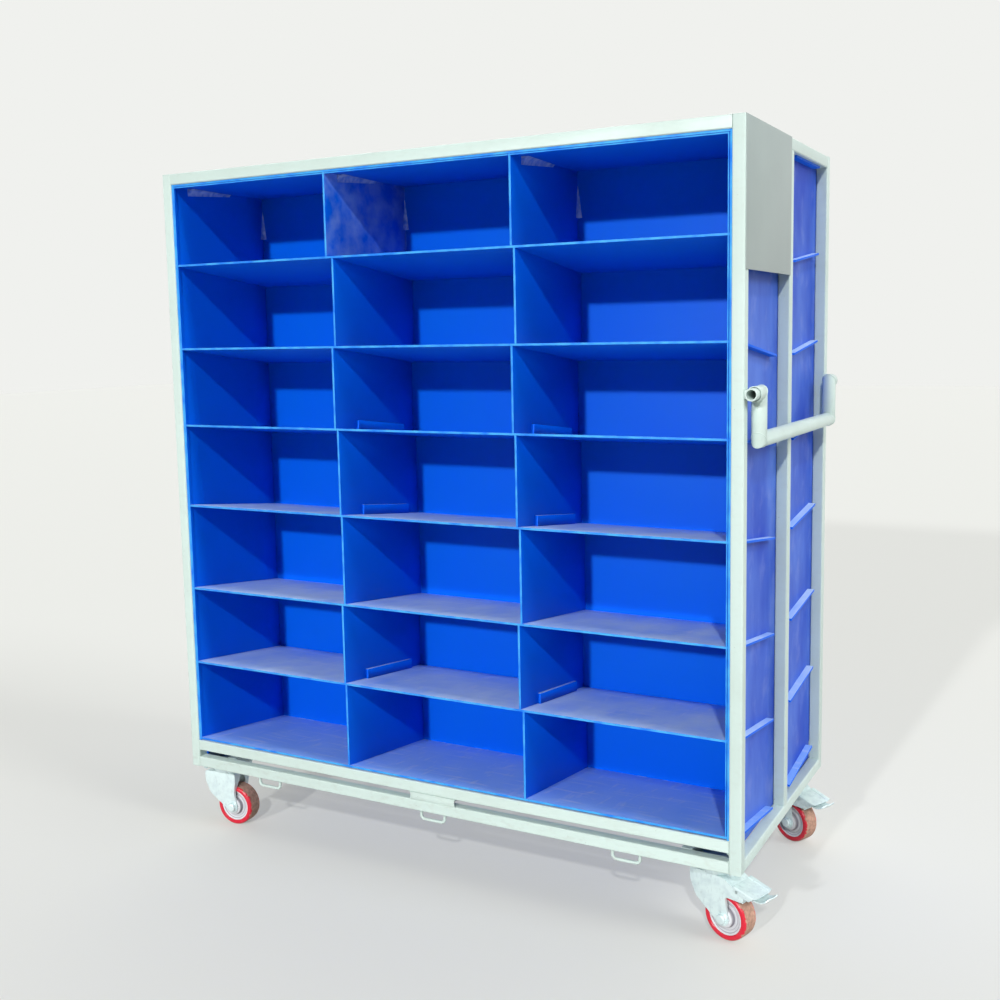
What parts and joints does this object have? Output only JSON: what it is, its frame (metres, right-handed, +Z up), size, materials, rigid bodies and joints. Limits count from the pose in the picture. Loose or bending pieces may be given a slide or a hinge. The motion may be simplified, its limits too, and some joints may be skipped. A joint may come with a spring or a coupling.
{
  "type": "parts handling trolley",
  "caption": "Tall steel tube trolley on castors, with sloping blue sheet compartments on both long sides, a drop handle and a bare end plate.",
  "frame": {"origin": "on the floor, below the centre of the overall box", "axes": "+X to the handle end, +Y from the front to the rear, +Z up"},
  "size_m": [1.8818, 0.85, 2.049],
  "materials": {
    "white_paint": "powder coat, light grey-white, satin",
    "blue_sheet": "fluted polypropylene sheet, blue, satin, with pale scuffs",
    "zinc": "bright zinc plate on pressed steel",
    "core_plastic": "moulded polyamide, off-white",
    "red_tyre": "red polyurethane, tread worn brown",
    "bearing_steel": "ground steel"
  },
  "bodies": {
    "root": {"front_left_post": "white_paint", "front_right_post": "white_paint", "rear_left_post": "white_paint", "rear_right_post": "white_paint", "post_caps": "white_paint", "front_top_rail": "white_paint", "front_upper_base_rail": "white_paint", "front_lower_base_rail": "white_paint", "rear_top_rail": "white_paint", "rear_upper_base_rail": "white_paint", "rear_lower_base_rail": "white_paint", "end_top_rails": "white_paint", "end_base_rails": "white_paint", "mid_posts": "white_paint", "base_cross_tubes": "white_paint", "slot_plates": "white_paint", "mount_plates": "white_paint", "end_plate": "white_paint", "front_loops": "white_paint", "rear_loops": "white_paint", "handle_stubs": "white_paint", "back_panels": "blue_sheet", "foot_strips": "blue_sheet", "top_panels": "blue_sheet", "front_side_panels": "blue_sheet", "front_shelves": "blue_sheet", "front_dividers": "blue_sheet", "rear_side_panels": "blue_sheet", "rear_shelves": "blue_sheet", "rear_dividers": "blue_sheet", "castor_top_plates": "zinc", "castor_studs": "zinc", "king_pins": "zinc"},
    "front_left_swivel": {"front_left_fork": "zinc", "front_left_axle": "zinc"},
    "front_left_wheel": {"front_left_wheel_core": "core_plastic", "front_left_tyre": "red_tyre", "front_left_bearings": "bearing_steel"},
    "rear_left_swivel": {"rear_left_fork": "zinc", "rear_left_axle": "zinc"},
    "rear_left_wheel": {"rear_left_wheel_core": "core_plastic", "rear_left_tyre": "red_tyre", "rear_left_bearings": "bearing_steel"},
    "front_right_swivel": {"front_right_fork": "zinc", "front_right_axle": "zinc"},
    "front_right_wheel": {"front_right_wheel_core": "core_plastic", "front_right_tyre": "red_tyre", "front_right_bearings": "bearing_steel"},
    "front_right_pedal": {"front_right_brake_pedal": "zinc"},
    "rear_right_swivel": {"rear_right_fork": "zinc", "rear_right_axle": "zinc"},
    "rear_right_wheel": {"rear_right_wheel_core": "core_plastic", "rear_right_tyre": "red_tyre", "rear_right_bearings": "bearing_steel"},
    "rear_right_pedal": {"rear_right_brake_pedal": "zinc"},
    "handle": {"handle_sleeves": "white_paint", "handle_arms": "white_paint", "handle_bar": "white_paint"}
  },
  "joints": [
    {"name": "front_left_swivel", "type": "hinge", "parent": "root", "child": "front_left_swivel", "pos_m": [-0.87292, -0.327, 0.1734], "axis": [0, 0, 1], "continuous": true},
    {"name": "front_left_wheel_spin", "type": "hinge", "parent": "front_left_swivel", "child": "front_left_wheel", "pos_m": [-0.83507, -0.32369, 0.0635], "axis": [-0.0872, 0.9962, 0], "continuous": true},
    {"name": "rear_left_swivel", "type": "hinge", "parent": "root", "child": "rear_left_swivel", "pos_m": [-0.87292, 0.337, 0.1734], "axis": [0, 0, 1], "continuous": true},
    {"name": "rear_left_wheel_spin", "type": "hinge", "parent": "rear_left_swivel", "child": "rear_left_wheel", "pos_m": [-0.83529, 0.33171, 0.0635], "axis": [0.1392, 0.9903, 0], "continuous": true},
    {"name": "front_right_swivel", "type": "hinge", "parent": "root", "child": "front_right_swivel", "pos_m": [0.77208, -0.327, 0.1734], "axis": [0, 0, 1], "continuous": true},
    {"name": "front_right_wheel_spin", "type": "hinge", "parent": "front_right_swivel", "child": "front_right_wheel", "pos_m": [0.80842, -0.33811, 0.0635], "axis": [0.2924, 0.9563, 0], "continuous": true},
    {"name": "front_right_pedal_press", "type": "hinge", "parent": "front_right_swivel", "child": "front_right_pedal", "pos_m": [0.85241, -0.35156, 0.151], "axis": [0.2924, 0.9563, 0], "range_deg": [0, 8]},
    {"name": "rear_right_swivel", "type": "hinge", "parent": "root", "child": "rear_right_swivel", "pos_m": [0.77208, 0.337, 0.1734], "axis": [0, 0, 1], "continuous": true},
    {"name": "rear_right_wheel_spin", "type": "hinge", "parent": "rear_right_swivel", "child": "rear_right_wheel", "pos_m": [0.80652, 0.32094, 0.0635], "axis": [0.4226, 0.9063, 0], "continuous": true},
    {"name": "rear_right_pedal_press", "type": "hinge", "parent": "rear_right_swivel", "child": "rear_right_pedal", "pos_m": [0.84821, 0.3015, 0.151], "axis": [0.4226, 0.9063, 0], "range_deg": [0, 8]},
    {"name": "handle_swing", "type": "hinge", "parent": "root", "child": "handle", "pos_m": [0.87898, 0.005, 1.402], "axis": [0, -1, 0], "range_deg": [0, 180]}
  ]
}
